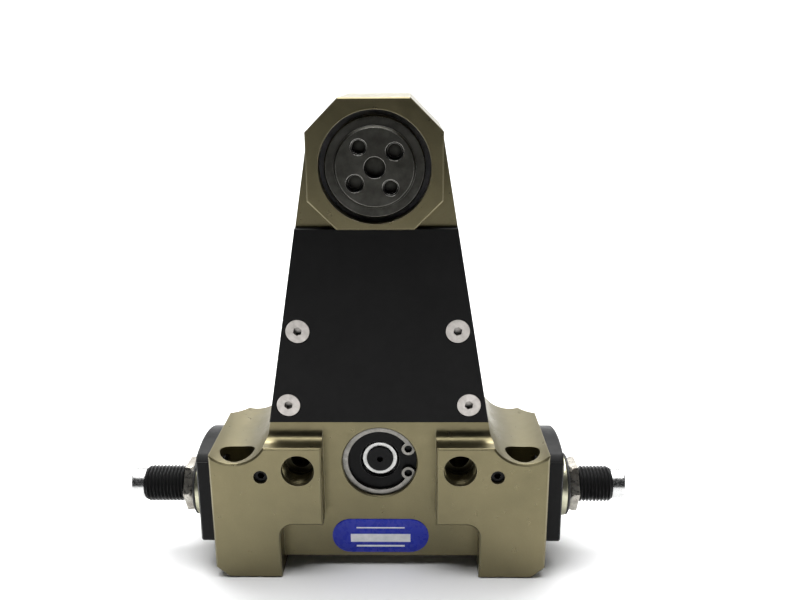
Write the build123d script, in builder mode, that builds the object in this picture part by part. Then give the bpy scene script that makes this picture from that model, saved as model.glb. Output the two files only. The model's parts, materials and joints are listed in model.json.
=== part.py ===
from build123d import *
import os
from math import atan, cos, degrees, pi, radians, sin, sqrt, tan

os.makedirs("parts", exist_ok=True)

# Millimetres. X runs along the cylinder, -Y is the front, +Z is up the arm.
# The origin is midway between the two mounting holes, on the plane of the feet.
# Depths are given from the cylinder's axis, which lies CYLINDER_Y behind the origin.

# ---- driving dimensions -----------------------------------------------------
# base
BASE_HALF = 44.4
BASE_DEPTH = 36.0
FRONT = -BASE_DEPTH / 2
REAR = BASE_DEPTH / 2
FOOT_INNER = 26.6
FOOT_OUTER = 40.9
FOOT_CHAMFER_HEIGHT = 3.05
SLOT_HEIGHT = 3.2
FACE = -12.2
PAD_TOP = 38.4
PAD_INNER = 15.0
PAD_COVE = 3.2
BASE_CHAMFER = 0.45
RELIEF_TOP = 16.0
LUG_RADIUS = 9.4
LUG_ARC_HEIGHT = 43.3

# arm and head
ARM_FOOT = 44.0
ARM_FOOT_HALF = 28.6
ARM_TAPER = 0.1677
ARM_TOP = 118.0
HEAD_FRONT = -17.7
HEAD_HALF = 16.2
HEAD_TOP = 126.4
HEAD_BOTTOM = 95.6
HEAD_CORNER = 7.8
HEAD_LOW_CORNER = 6.9
HEAD_CHAMFER = 0.3

# gear train, module 1 with short teeth
MODULE = 1.0
ADDENDUM = 0.8
DEDENDUM = 1.1
PRESSURE_ANGLE = 20
BACKLASH = 0.06
PINION_TEETH = 14
LOWER_TEETH = 34
UPPER_TEETH = 31
OUTPUT_TEETH = 14
GEAR_WIDTH = 6.0
PINION_WIDTH = 8.0
PINION_Z = 31.4
LOWER_Z = PINION_Z + MODULE * (PINION_TEETH + LOWER_TEETH) / 2
UPPER_Z = LOWER_Z + MODULE * (LOWER_TEETH + UPPER_TEETH) / 2
OUTPUT_Z = UPPER_Z + MODULE * (UPPER_TEETH + OUTPUT_TEETH) / 2

# cylinder, rack and pistons
CYLINDER_Y = 12.0
CYLINDER_Z = 18.7
CYLINDER_R = 8.0
RACK_R = 7.5
PISTON_R = 7.95
PISTON_WIDTH = 6.0
PISTON_INNER = 20.0
SWIVEL_FROM_MIDDLE = 6.8
RACK_SHIFT = MODULE * PINION_TEETH / 2 * radians(SWIVEL_FROM_MIDDLE)

# end caps and dampers
CAP_OUTER = 48.8
CAP_FRONT = -14.5
CAP_BOTTOM = 8.7
CAP_TOP = 35.6
CAP_ARCH_MIDDLE = -4.5
SPIGOT_LENGTH = 4.5
RING_OUTER = 52.3
RING_R = 8.75
NUT_THICKNESS = 2.8
NUT_FLATS = 13.0
NUT_TURN = -2.8
DAMPER_R = 5.0
DAMPER_INNER = 38.1
DAMPER_LENGTH_LEFT = 67.1
DAMPER_LENGTH_RIGHT = 64.9
TIP_R = 4.3
TIP_LENGTH = 3.7
ROD_R = 1.6
ROD_STROKE = 4.0
BUTTON_R = 2.3
BUTTON_LENGTH = 1.2

# bearings and shaft ends
SEAT_R = 10.0
SEAT_LOW = PINION_Z - SEAT_R - 0.5
BEARING_R = 8.5
JOURNAL_R = 3.5
BEARING_WIDTH = 5.0
FLANGE_BORE = 13.35
FLANGE_R = 12.05
RIM_CHAMFER = 0.4
BOSS_R = 9.7
HOLE_CIRCLE = 6.0
HOLE_ANGLE = 45 - SWIVEL_FROM_MIDDLE
FRONT_SEAT_R = 12.0
FRONT_JOURNAL_R = 6.0
REAR_SEAT_R = 11.0
REAR_JOURNAL_R = 4.0

# mounting holes, ports and screws
MOUNT_X = 38.0
MOUNT_Y = -12.0
PORT_X = 21.2
PORT_Z = 32.0
PORT_R = 4.35
THROTTLE_X = 31.0
THROTTLE_Z = 30.2
PLATE_THICKNESS = 1.9
COVER_SCREWS = [(20.25, 69.0), (23.4, 48.9)]
HEAD_R = 3.05


def arm_half(height):
    """Half the width of the tapering arm at a height."""
    return ARM_FOOT_HALF - ARM_TAPER * (height - ARM_FOOT)


def facing_front(y, x=0.0, z=0.0, turn=0.0):
    """A plane across Y at a depth, looking out of the front: local x is X, local y is Z."""
    along = (cos(radians(turn)), 0, sin(radians(turn)))
    return Plane(origin=(x, CYLINDER_Y + y, z), x_dir=along, z_dir=(0, -1, 0))


def across(x):
    """A plane across X: local x is the depth, local y is Z."""
    return Plane(origin=(x, CYLINDER_Y, 0), x_dir=(0, 1, 0), z_dir=(1, 0, 0))


def end_face(side, y, z):
    """A plane on an end cap's outer face, looking outwards."""
    return Plane(origin=(side * CAP_OUTER, CYLINDER_Y + y, z), x_dir=(0, 1, 0), z_dir=(side, 0, 0))


def level(z):
    """A horizontal plane at a height: local x is X, local y is the depth."""
    return Plane(origin=(0, CYLINDER_Y, z), x_dir=(1, 0, 0), z_dir=(0, 0, 1))


def save(part, name):
    """Label one finished piece and write its file."""
    part.label = name
    export_step(part, "parts/" + name + ".step")


def ring_y(y_front, y_rear, height, outer, inner=0.0):
    """A disc or ring about an axis along Y at x = 0."""
    with BuildPart() as ring:
        with BuildSketch(facing_front(y_rear)):
            with Locations((0, height)):
                Circle(outer)
                if inner:
                    Circle(inner, mode=Mode.SUBTRACT)
        extrude(amount=y_rear - y_front)
    return ring.part


def ring_x(x_start, x_end, outer, inner=0.0):
    """A disc or ring about the cylinder's axis."""
    with BuildPart() as ring:
        with BuildSketch(across(x_start)):
            with Locations((0, CYLINDER_Z)):
                Circle(outer)
                if inner:
                    Circle(inner, mode=Mode.SUBTRACT)
        extrude(amount=x_end - x_start)
    return ring.part


# ---- toothed outlines ---------------------------------------------------------
def flank_angle(radius, teeth):
    """Half the angle that a tooth fills at a radius, from the involute."""
    pitch = MODULE * teeth / 2
    base = pitch * cos(radians(PRESSURE_ANGLE))
    half = (pi * MODULE / 4 - BACKLASH / 2) / pitch
    at_pitch = tan(radians(PRESSURE_ANGLE)) - radians(PRESSURE_ANGLE)
    if radius <= base:
        return half + at_pitch
    roll = sqrt((radius / base) ** 2 - 1)
    return half + at_pitch - (roll - atan(roll))


def gear_outline(teeth, centre, first_angle):
    """The outline of a gear as a sketch."""
    pitch = MODULE * teeth / 2
    tip = pitch + ADDENDUM * MODULE
    root = pitch - DEDENDUM * MODULE
    step = 2 * pi / teeth

    def at(radius, angle):
        return (centre[0] + radius * cos(angle), centre[1] + radius * sin(angle))

    with BuildSketch() as outline:
        with BuildLine():
            for tooth in range(teeth):
                middle = radians(first_angle) + tooth * step
                low = flank_angle(root, teeth)
                high = flank_angle(tip, teeth)
                half_way = flank_angle(pitch, teeth)
                ThreePointArc(
                    at(root, middle - low), at(pitch, middle - half_way), at(tip, middle - high)
                )
                ThreePointArc(at(tip, middle - high), at(tip, middle), at(tip, middle + high))
                ThreePointArc(
                    at(tip, middle + high), at(pitch, middle + half_way), at(root, middle + low)
                )
                next_low = middle + step - low
                between = (middle + low + next_low) / 2
                ThreePointArc(at(root, middle + low), at(root, between), at(root, next_low))
        make_face()
    return outline.sketch


def rack_tooth_spaces(count):
    """The spaces between rack teeth as a sketch."""
    pitch_line = PINION_Z - MODULE * PINION_TEETH / 2
    slope = tan(radians(PRESSURE_ANGLE))
    half = pi * MODULE / 4 + BACKLASH / 2
    top = pitch_line + ADDENDUM * MODULE + 2
    bottom = pitch_line - DEDENDUM * MODULE
    wide = half + slope * (top - pitch_line)
    narrow = half - slope * (pitch_line - bottom)
    with BuildSketch() as spaces:
        for index in range(-count, count + 1):
            x = index * pi * MODULE
            with BuildLine():
                Polyline(
                    (x - wide, top), (x - narrow, bottom), (x + narrow, bottom), (x + wide, top), close=True
                )
            make_face()
    return spaces.sketch


# ---- housing: base, arm and head in one machined piece --------------------------
def lug_centre():
    """Centre of the round trough that forms the top of a lug."""
    return arm_half(LUG_ARC_HEIGHT) + LUG_RADIUS


def make_housing():
    """The one-piece housing with every seat, port and passage."""
    with BuildPart() as housing:
        # block of the base, front to rear, with the slot between the feet
        with BuildSketch(facing_front(REAR)):
            with BuildLine():
                Polyline(
                    (-FOOT_INNER, 0),
                    (-FOOT_OUTER, 0),
                    (-BASE_HALF, FOOT_CHAMFER_HEIGHT),
                    (-BASE_HALF, LUG_ARC_HEIGHT),
                    (BASE_HALF, LUG_ARC_HEIGHT),
                    (BASE_HALF, FOOT_CHAMFER_HEIGHT),
                    (FOOT_OUTER, 0),
                    (FOOT_INNER, 0),
                    (FOOT_INNER, SLOT_HEIGHT),
                    (-FOOT_INNER, SLOT_HEIGHT),
                    close=True,
                )
            make_face()
        extrude(amount=BASE_DEPTH)
        # round troughs that form the tops of the two lugs
        with BuildSketch(facing_front(REAR)):
            with Locations((-lug_centre(), LUG_ARC_HEIGHT), (lug_centre(), LUG_ARC_HEIGHT)):
                Circle(LUG_RADIUS)
        extrude(amount=BASE_DEPTH, mode=Mode.SUBTRACT)
        # long chamfers on the rear outer corners
        with BuildSketch(level(0)):
            for side in (-1, 1):
                with BuildLine():
                    Polyline(
                        (side * BASE_HALF, REAR - 8.5),
                        (side * (BASE_HALF - 3.9), REAR),
                        (side * (BASE_HALF + 1), REAR + 1),
                        (side * (BASE_HALF + 1), REAR - 8.5),
                        close=True,
                    )
                make_face()
        extrude(amount=50, mode=Mode.SUBTRACT)
        # tapering arm
        with BuildSketch(facing_front(REAR)):
            with BuildLine():
                Polyline(
                    (-arm_half(30), 30),
                    (-arm_half(ARM_TOP), ARM_TOP),
                    (arm_half(ARM_TOP), ARM_TOP),
                    (arm_half(30), 30),
                    close=True,
                )
            make_face()
        extrude(amount=REAR - FACE)
        # the block in front of the arm stops at the pads' top
        with BuildSketch(facing_front(FACE)):
            with Locations((0, PAD_TOP)):
                Rectangle(120, 20, align=(Align.CENTER, Align.MIN))
        extrude(amount=10, mode=Mode.SUBTRACT)
        # front relief: wide between the feet, narrow between the pads
        with BuildSketch(facing_front(FACE)) as relief:
            Rectangle(2 * FOOT_INNER, RELIEF_TOP, align=(Align.CENTER, Align.MIN))
            fillet(relief.vertices().group_by(Axis.Y)[-1], radius=3.6)
            with Locations((0, -1)):
                Rectangle(2 * FOOT_INNER, 8, align=(Align.CENTER, Align.MIN))
            Rectangle(2 * PAD_INNER, 50, align=(Align.CENTER, Align.MIN))
        extrude(amount=10, mode=Mode.SUBTRACT)
        # octagonal head
        with BuildSketch(facing_front(REAR)):
            with BuildLine():
                Polyline(
                    (-HEAD_HALF + HEAD_CORNER, HEAD_TOP),
                    (HEAD_HALF - HEAD_CORNER, HEAD_TOP),
                    (HEAD_HALF, HEAD_TOP - HEAD_CORNER),
                    (HEAD_HALF, HEAD_BOTTOM + HEAD_LOW_CORNER),
                    (HEAD_HALF - HEAD_LOW_CORNER, HEAD_BOTTOM),
                    (-HEAD_HALF + HEAD_LOW_CORNER, HEAD_BOTTOM),
                    (-HEAD_HALF, HEAD_BOTTOM + HEAD_LOW_CORNER),
                    (-HEAD_HALF, HEAD_TOP - HEAD_CORNER),
                    close=True,
                )
            make_face()
        extrude(amount=REAR - HEAD_FRONT)
        round_edges(housing)
        for room in (gear_room(), bores(), passages(), screw_holes()):
            add(room, mode=Mode.SUBTRACT)
    return housing.part


def round_edges(housing):
    """A cove where the pads' tops meet the arm, and chamfers round both front faces."""
    pad_edges = (
        housing.edges()
        .filter_by(Axis.X)
        .filter_by_position(Axis.Y, CYLINDER_Y + FACE - 0.1, CYLINDER_Y + FACE + 0.1)
        .filter_by_position(Axis.Z, PAD_TOP - 0.1, PAD_TOP + 0.1)
    )
    fillet(pad_edges, radius=PAD_COVE)
    head_outline = housing.edges().filter_by_position(
        Axis.Y, CYLINDER_Y + HEAD_FRONT - 0.05, CYLINDER_Y + HEAD_FRONT + 0.05
    )
    chamfer(head_outline, length=HEAD_CHAMFER)
    base_outline = housing.edges().filter_by_position(
        Axis.Y, CYLINDER_Y + FRONT - 0.05, CYLINDER_Y + FRONT + 0.05
    )
    chamfer(base_outline, length=BASE_CHAMFER)


def gear_room():
    """Gear pocket behind the cover plate, and the undercuts to both shafts."""
    with BuildPart() as room:
        back = 3.7
        wall = -4.8
        # pocket that the cover plate closes
        with BuildSketch(facing_front(back)) as pocket:
            with Locations((0, LOWER_Z)):
                Circle(18.4)
            with Locations((0, UPPER_Z)):
                Circle(16.9)
            with Locations((0, (LOWER_Z + UPPER_Z) / 2)):
                Rectangle(22, UPPER_Z - LOWER_Z)
            with Locations((0, ARM_FOOT + 2)):
                Rectangle(80, 30, align=(Align.CENTER, Align.MAX), mode=Mode.SUBTRACT)
            with Locations((0, HEAD_BOTTOM - 3)):
                Rectangle(80, 30, align=(Align.CENTER, Align.MIN), mode=Mode.SUBTRACT)
        extrude(amount=back - FACE)
        # undercut room for the gears below and above that pocket
        with BuildSketch(facing_front(back)):
            with Locations((0, LOWER_Z)):
                Circle(18.4)
            with Locations((0, UPPER_Z)):
                Circle(16.9)
            with Locations((0, PINION_Z), (0, OUTPUT_Z)):
                Circle(8.6)
        extrude(amount=back - wall)
        # blind holes for the idler pins
        with BuildSketch(facing_front(12)):
            with Locations((0, LOWER_Z), (0, UPPER_Z)):
                Circle(3.0)
        extrude(amount=10)
    return room.part


def bores():
    """Cylinder bore, both shafts' bearing seats and the groove of the retaining ring."""
    with BuildPart() as bore:
        with BuildSketch(across(-BASE_HALF - 1)):
            with Locations((0, CYLINDER_Z)):
                Circle(CYLINDER_R)
        extrude(amount=2 * BASE_HALF + 2)
        steps = [
            # height, radius, front, rear
            (PINION_Z, SEAT_R, FRONT, 4.2),
            (PINION_Z, SEAT_R + 0.5, FACE + 0.9, FACE + 2.1),
            (PINION_Z, BEARING_R, 4.0, 4.2 + BEARING_WIDTH),
            (PINION_Z, 4.5, 9.0, 11.0),
            (OUTPUT_Z, FLANGE_BORE, HEAD_FRONT - 1, -12.0),
            (OUTPUT_Z, FRONT_SEAT_R, -12.5, -5.6),
            (OUTPUT_Z, 9.0, -6.0, 5.0),
            (OUTPUT_Z, REAR_SEAT_R, 4.8, REAR + 1),
        ]
        for height, radius, front, rear in steps:
            with BuildSketch(facing_front(rear)):
                with Locations((0, height)):
                    Circle(radius)
            extrude(amount=rear - front)
        # chamfered mouth of the pinion bore
        with BuildSketch(facing_front(FACE + 0.3)):
            with Locations((0, PINION_Z)):
                Circle(SEAT_R)
        extrude(amount=0.4, taper=-45)
    return bore.part


def passages():
    """Air ports, throttle holes and the passages to the two chambers."""
    with BuildPart() as passage:
        for side in (-1, 1):
            with BuildSketch(facing_front(FRONT + 7.5)):
                with Locations((side * PORT_X, PORT_Z)):
                    Circle(PORT_R)
            extrude(amount=8)
            with BuildSketch(facing_front(1.0)):
                with Locations((side * PORT_X, PORT_Z)):
                    Circle(2.8)
            extrude(amount=12)
            with BuildSketch(facing_front(1.0)):
                with Locations((side * THROTTLE_X, THROTTLE_Z)):
                    Circle(1.85)
            extrude(amount=20)
            start = min(side * PORT_X, side * MOUNT_X)
            with BuildSketch(across(start)):
                with Locations((0, PORT_Z - 1.6)):
                    Circle(1.3)
            extrude(amount=MOUNT_X - PORT_X)
            with BuildSketch(level(CYLINDER_Z)):
                with Locations((side * MOUNT_X, 0)):
                    Circle(1.3)
            extrude(amount=PORT_Z - 1.6 - CYLINDER_Z)
    return passage.part


def screw_holes():
    """Counterbored mounting holes, and the threads for cover and cap screws."""
    with BuildPart() as holes:
        for side in (-1, 1):
            with BuildSketch(level(28)):
                with Locations((side * MOUNT_X, MOUNT_Y)):
                    Circle(4.6)
            extrude(amount=12)
            with BuildSketch(level(-1)):
                with Locations((side * MOUNT_X, MOUNT_Y)):
                    Circle(2.75)
            extrude(amount=30)
            for x, z in COVER_SCREWS:
                with BuildSketch(facing_front(FACE + 7)):
                    with Locations((side * x, z)):
                        Circle(1.5)
                extrude(amount=8)
            with BuildSketch(across(side * BASE_HALF)):
                with Locations(*cap_screw_places()):
                    Circle(1.5)
            extrude(amount=-side * 3.5)
    return holes.part


def cap_screw_places():
    """Middles of the four screws of one end cap, in Y and Z."""
    return [(-10.5, 13.2), (10.5, 13.2), (-9.5, 31.0), (9.0, 27.5)]


# ---- covers, label and screws ----------------------------------------------------
def make_cover_plate():
    """The trapezoid plate over the gear pocket."""
    top = HEAD_BOTTOM - 0.3
    with BuildPart() as plate:
        with BuildSketch(facing_front(FACE)):
            with BuildLine():
                Polyline(
                    (-ARM_FOOT_HALF, ARM_FOOT),
                    (-arm_half(top), top),
                    (arm_half(top), top),
                    (ARM_FOOT_HALF, ARM_FOOT),
                    close=True,
                )
            make_face()
        extrude(amount=PLATE_THICKNESS)
        chamfer(plate.faces().sort_by(Axis.Y)[0].edges(), length=0.2)
        for x, z in COVER_SCREWS:
            front = FACE - PLATE_THICKNESS
            with Locations(facing_front(front, -x, z), facing_front(front, x, z)):
                CounterSinkHole(1.6, HEAD_R + 0.25, depth=PLATE_THICKNESS, counter_sink_angle=90)
    return plate.part


def flat_screw(plane, shank_length):
    """A countersunk screw with a hexagon socket, its head level with the plane."""
    with BuildPart() as screw:
        with BuildSketch(plane):
            Circle(HEAD_R)
        extrude(amount=-0.25)
        with BuildSketch(plane.offset(-0.25)):
            Circle(HEAD_R)
        extrude(amount=-1.5, taper=45)
        with BuildSketch(plane):
            Circle(1.45)
        extrude(amount=-shank_length)
        with BuildSketch(plane):
            RegularPolygon(radius=1.15, side_count=6)
        extrude(amount=-1.3, mode=Mode.SUBTRACT)
    return screw.part


def make_cover_screws():
    """Four countersunk screws as one group."""
    screws = []
    for x, z in COVER_SCREWS:
        for side in (-1, 1):
            plane = facing_front(FACE - PLATE_THICKNESS, side * x, z, turn=20)
            screws.append(flat_screw(plane, 8.0))
    return Compound(children=screws)


def make_label():
    """A thin stadium-shaped label on the front relief."""
    with BuildPart() as label:
        with BuildSketch(facing_front(FACE)):
            with Locations((0, 9.4)):
                SlotOverall(26.4, 10.2)
        extrude(amount=0.3)
    return label.part


def make_throttle_screws():
    """Two small set screws that throttle the air passages."""
    screws = []
    for side in (-1, 1):
        with BuildPart() as screw:
            with BuildSketch(facing_front(FRONT + 7.0)):
                with Locations((side * THROTTLE_X, THROTTLE_Z)):
                    Circle(1.8)
            extrude(amount=6.0)
            with BuildSketch(facing_front(FRONT + 1.0)):
                with Locations((side * THROTTLE_X, THROTTLE_Z)):
                    RegularPolygon(radius=0.95, side_count=6)
            extrude(amount=-1.6, mode=Mode.SUBTRACT)
        screws.append(screw.part)
    return Compound(children=screws)


# ---- end caps ----------------------------------------------------------------------
def make_end_cap(side):
    """An end cap: plate, spigot in the bore, and the thread for the damper."""
    with BuildPart() as cap:
        with BuildSketch(across(side * BASE_HALF)):
            with BuildLine():
                ThreePointArc(
                    (CAP_FRONT + 1.3, CAP_TOP - 1.6),
                    (CAP_ARCH_MIDDLE, CAP_TOP),
                    (-CAP_FRONT, CAP_TOP - 6.6),
                )
                Polyline(
                    (-CAP_FRONT, CAP_TOP - 6.6),
                    (-CAP_FRONT, CAP_BOTTOM),
                    (CAP_FRONT, CAP_BOTTOM),
                    (CAP_FRONT, CAP_TOP - 2.9),
                    (CAP_FRONT + 1.3, CAP_TOP - 1.6),
                )
            make_face()
        extrude(amount=side * (CAP_OUTER - BASE_HALF))
        fillet(cap.edges().filter_by(Axis.X).group_by(Axis.Z)[0], radius=1.2)
        outer_face = cap.faces().sort_by(Axis.X)[-1 if side > 0 else 0]
        chamfer(outer_face.edges(), length=0.35)
        with BuildSketch(across(side * BASE_HALF)):
            with Locations((0, CYLINDER_Z)):
                Circle(CYLINDER_R - 0.05)
        extrude(amount=-side * SPIGOT_LENGTH)
        with BuildSketch(across(side * (BASE_HALF - 1.2))):
            with Locations((0, CYLINDER_Z)):
                Circle(CYLINDER_R + 1)
                Circle(CYLINDER_R - 1.25, mode=Mode.SUBTRACT)
        extrude(amount=-side * 2.0, mode=Mode.SUBTRACT)
        with BuildSketch(across(side * (CAP_OUTER + 1))):
            with Locations((0, CYLINDER_Z)):
                Circle(DAMPER_R)
        extrude(amount=-side * 12, mode=Mode.SUBTRACT)
        for y, z in cap_screw_places():
            with Locations(end_face(side, y, z)):
                CounterSinkHole(1.6, HEAD_R + 0.25, depth=CAP_OUTER - BASE_HALF, counter_sink_angle=90)
    return cap.part


def make_cap_screws(side):
    """The four countersunk screws of one end cap."""
    screws = []
    for y, z in cap_screw_places():
        screws.append(flat_screw(end_face(side, y, z), 7.0))
    return Compound(children=screws)


def round_ring(x, mean_radius, section_radius):
    """An O-ring about the cylinder's axis."""
    with BuildPart() as ring:
        with BuildSketch(facing_front(0)):
            with Locations((x, CYLINDER_Z + mean_radius)):
                Circle(section_radius)
        revolve(axis=Axis((0, CYLINDER_Y, CYLINDER_Z), (1, 0, 0)))
    return ring.part


def make_cap_orings():
    """The two O-rings on the caps' spigots."""
    place = BASE_HALF - 2.2
    return Compound(children=[round_ring(side * place, CYLINDER_R - 0.65, 0.6) for side in (-1, 1)])


# ---- dampers -----------------------------------------------------------------------
def make_damper(side, outer_end):
    """The threaded body of one damper, open at its inner end for the rod."""
    with BuildPart() as body:
        with BuildSketch(across(side * DAMPER_INNER)):
            with Locations((0, CYLINDER_Z)):
                Circle(DAMPER_R)
        extrude(amount=side * (outer_end - DAMPER_INNER))
        chamfer(body.edges().filter_by(GeomType.CIRCLE), length=0.5)
        with BuildSketch(across(side * DAMPER_INNER)):
            with Locations((0, CYLINDER_Z)):
                Circle(ROD_R + 0.05)
        extrude(amount=side * 12, mode=Mode.SUBTRACT)
        with BuildSketch(across(side * DAMPER_INNER)):
            with Locations((0, CYLINDER_Z)):
                Circle(BUTTON_R + 0.15)
        extrude(amount=side * (BUTTON_LENGTH + 0.2), mode=Mode.SUBTRACT)
    return body.part


def make_damper_tip(side, outer_end):
    """The plain outer end of a damper, with its adjusting slot."""
    with BuildPart() as tip:
        with BuildSketch(across(side * outer_end)):
            with Locations((0, CYLINDER_Z)):
                Circle(TIP_R)
        extrude(amount=side * TIP_LENGTH)
        outer_face = tip.faces().sort_by(Axis.X)[-1 if side > 0 else 0]
        chamfer(outer_face.edges(), length=0.4)
        with BuildSketch(across(side * (outer_end + TIP_LENGTH))):
            with Locations((0, CYLINDER_Z)):
                RegularPolygon(radius=1.73, side_count=6)
        extrude(amount=-side * 2.0, mode=Mode.SUBTRACT)
    return tip.part


def make_damper_rod(side):
    """The rod that the piston pushes in, with its round button."""
    start = DAMPER_INNER - ROD_STROKE
    with BuildPart() as rod:
        with BuildSketch(across(side * (start + BUTTON_LENGTH))):
            with Locations((0, CYLINDER_Z)):
                Circle(ROD_R)
        extrude(amount=side * 9.5)
        with BuildSketch(across(side * start)):
            with Locations((0, CYLINDER_Z)):
                Circle(BUTTON_R)
        extrude(amount=side * BUTTON_LENGTH)
    return rod.part


def make_lock_nut(side):
    """The hexagon nut that locks a damper."""
    with BuildPart() as nut:
        with BuildSketch(across(side * RING_OUTER)):
            with Locations((0, CYLINDER_Z)):
                RegularPolygon(radius=NUT_FLATS / sqrt(3), side_count=6, rotation=NUT_TURN)
        extrude(amount=side * NUT_THICKNESS)
        with BuildSketch(across(side * RING_OUTER)):
            with Locations((0, CYLINDER_Z)):
                Circle(NUT_FLATS / 2 + 0.15)
        extrude(amount=side * NUT_THICKNESS, taper=-30, mode=Mode.INTERSECT)
        with BuildSketch(across(side * RING_OUTER)):
            with Locations((0, CYLINDER_Z)):
                Circle(DAMPER_R)
        extrude(amount=side * NUT_THICKNESS, mode=Mode.SUBTRACT)
    return nut.part


def make_sealing_ring(side):
    """The thick yellow ring between a cap and its lock nut."""
    with BuildPart() as ring:
        with BuildSketch(across(side * CAP_OUTER)):
            with Locations((0, CYLINDER_Z)):
                Circle(RING_R)
        extrude(amount=side * (RING_OUTER - CAP_OUTER))
        chamfer(ring.edges().filter_by(GeomType.CIRCLE), length=0.3)
        with BuildSketch(across(side * CAP_OUTER)):
            with Locations((0, CYLINDER_Z)):
                Circle(DAMPER_R)
        extrude(amount=side * (RING_OUTER - CAP_OUTER), mode=Mode.SUBTRACT)
    return ring.part


# ---- rack and pistons ----------------------------------------------------------------
def make_rack():
    """The toothed rack, with a threaded stud at each end for a piston."""
    tip_line = PINION_Z - MODULE * PINION_TEETH / 2 + ADDENDUM * MODULE
    with BuildPart() as rack:
        with BuildSketch(across(RACK_SHIFT - PISTON_INNER)):
            with Locations((0, CYLINDER_Z)):
                Circle(RACK_R)
        extrude(amount=2 * PISTON_INNER)
        with BuildSketch(across(RACK_SHIFT - PISTON_INNER)):
            with Locations((0, tip_line)):
                Rectangle(20, 10, align=(Align.CENTER, Align.MIN))
        extrude(amount=2 * PISTON_INNER, mode=Mode.SUBTRACT)
        # relief beside the teeth, clear of the pinion's bearings
        with BuildSketch(across(RACK_SHIFT - PISTON_INNER)):
            with Locations((PINION_WIDTH / 2, SEAT_LOW), (-PINION_WIDTH / 2 - 8, SEAT_LOW)):
                Rectangle(8, 10, align=(Align.MIN, Align.MIN))
        extrude(amount=2 * PISTON_INNER, mode=Mode.SUBTRACT)
        with BuildSketch(across(RACK_SHIFT - PISTON_INNER - 2.4)):
            with Locations((0, CYLINDER_Z)):
                Circle(2.5)
        extrude(amount=2 * PISTON_INNER + 4.8)
        with BuildSketch(facing_front(10)):
            add(rack_tooth_spaces(5))
        extrude(amount=20, mode=Mode.SUBTRACT)
    return rack.part


def make_piston(side):
    """One piston with two grooves and a pocket for the damper's button."""
    start = RACK_SHIFT + side * PISTON_INNER
    with BuildPart() as piston:
        with BuildSketch(across(start)):
            with Locations((0, CYLINDER_Z)):
                Circle(PISTON_R)
        extrude(amount=side * PISTON_WIDTH)
        for offset, width, depth in ((0.7, 1.2, 0.8), (2.9, 2.0, 1.4)):
            with BuildSketch(across(start + side * offset)):
                with Locations((0, CYLINDER_Z)):
                    Circle(PISTON_R + 1)
                    Circle(PISTON_R - depth, mode=Mode.SUBTRACT)
            extrude(amount=side * width, mode=Mode.SUBTRACT)
        with BuildSketch(across(start)):
            with Locations((0, CYLINDER_Z)):
                Circle(2.5)
        extrude(amount=side * 2.4, mode=Mode.SUBTRACT)
        with BuildSketch(across(start + side * PISTON_WIDTH)):
            with Locations((0, CYLINDER_Z)):
                Circle(3.0)
        extrude(amount=-side * 3.0, mode=Mode.SUBTRACT)
    return piston.part


def make_piston_rings(offset, width, depth):
    """A pair of rings, one in the same groove of each piston."""
    rings = []
    for side in (-1, 1):
        start = RACK_SHIFT + side * (PISTON_INNER + offset)
        rings.append(ring_x(start, start + side * width, CYLINDER_R - 0.03, PISTON_R - depth))
    return Compound(children=rings)


# ---- shafts and gears ----------------------------------------------------------------
def make_pinion_shaft():
    """The pinion with a journal at each end."""
    with BuildPart() as shaft:
        with BuildSketch(facing_front(PINION_WIDTH / 2)):
            add(gear_outline(PINION_TEETH, (0, PINION_Z), -90))
        extrude(amount=PINION_WIDTH)
        with BuildSketch(facing_front(4.2 + BEARING_WIDTH)):
            with Locations((0, PINION_Z)):
                Circle(JOURNAL_R)
        extrude(amount=4.2 + BEARING_WIDTH + 10.0)
        with BuildSketch(facing_front(-10.0)):
            with Locations((0, PINION_Z)):
                Circle(0.85)
        extrude(amount=-1.5, mode=Mode.SUBTRACT)
    return shaft.part


def make_idler(teeth, height, first_angle):
    """An idler gear with a lightened web and a bore for its bush."""
    pitch = MODULE * teeth / 2
    with BuildPart() as gear:
        with BuildSketch(facing_front(GEAR_WIDTH / 2)):
            add(gear_outline(teeth, (0, height), first_angle))
        extrude(amount=GEAR_WIDTH)
        for face_y, direction in ((-GEAR_WIDTH / 2, -1), (GEAR_WIDTH / 2, 1)):
            with BuildSketch(facing_front(face_y)):
                with Locations((0, height)):
                    Circle(pitch - 3.5)
                    Circle(6.5, mode=Mode.SUBTRACT)
            extrude(amount=direction * 1.2, mode=Mode.SUBTRACT)
        with BuildSketch(facing_front(GEAR_WIDTH / 2)):
            with Locations((0, height)):
                Circle(4.0)
        extrude(amount=GEAR_WIDTH, mode=Mode.SUBTRACT)
    return gear.part


def make_idler_pin(height):
    """A hardened pin, pressed into the housing, with a groove for its clip."""
    with BuildPart() as pin:
        with BuildSketch(facing_front(12.0)):
            with Locations((0, height)):
                Circle(3.0)
        extrude(amount=17.5)
        chamfer(pin.edges().filter_by(GeomType.CIRCLE), length=0.3)
        with BuildSketch(facing_front(-3.6)):
            with Locations((0, height)):
                Circle(4.0)
                Circle(2.4, mode=Mode.SUBTRACT)
        extrude(amount=0.7, mode=Mode.SUBTRACT)
    return pin.part


def make_idler_clips():
    """Open retaining clips in the pins' grooves."""
    clips = []
    for height in (LOWER_Z, UPPER_Z):
        with BuildPart() as clip:
            with BuildSketch(facing_front(-3.65)):
                with Locations((0, height)):
                    Circle(5.0)
                    Circle(2.42, mode=Mode.SUBTRACT)
                with Locations((3.5, height)):
                    Rectangle(7, 3.4, mode=Mode.SUBTRACT)
            extrude(amount=0.6)
        clips.append(clip.part)
    return Compound(children=clips)


def make_idler_washers():
    """Thrust washers in front of and behind the two idlers."""
    washers = []
    for height in (LOWER_Z, UPPER_Z):
        washers.append(ring_y(-3.55, -3.15, height, 5.5, 3.03))
        washers.append(ring_y(3.15, 3.65, height, 5.5, 3.03))
    return Compound(children=washers)


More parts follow.
